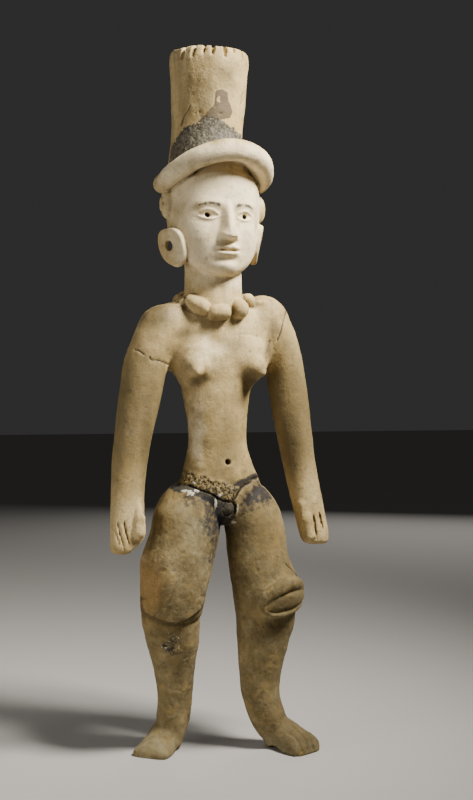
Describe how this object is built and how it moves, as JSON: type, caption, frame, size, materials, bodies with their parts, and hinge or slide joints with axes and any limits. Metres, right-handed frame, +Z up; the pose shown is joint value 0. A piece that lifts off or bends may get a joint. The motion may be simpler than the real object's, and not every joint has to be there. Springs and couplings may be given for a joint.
{
  "type": "ballplayer figure",
  "caption": "Standing fired-clay ballplayer figure in a tall hat with a rolled brim, ear ornaments, bead necklace and a padded left knee.",
  "frame": {"origin": "on the surface the figure stands on, under the middle of its overall box", "axes": "+Z up from the soles to the hat, the figure faces -Y, and its left side is at +X"},
  "size_m": [0.1259, 0.0607, 0.381],
  "materials": {
    "fired_clay": "matt buff fired clay with a worn cream slip, dark stains and burial deposit"
  },
  "bodies": {
    "root": {"ballplayer_figure": "fired_clay"}
  },
  "joints": []
}
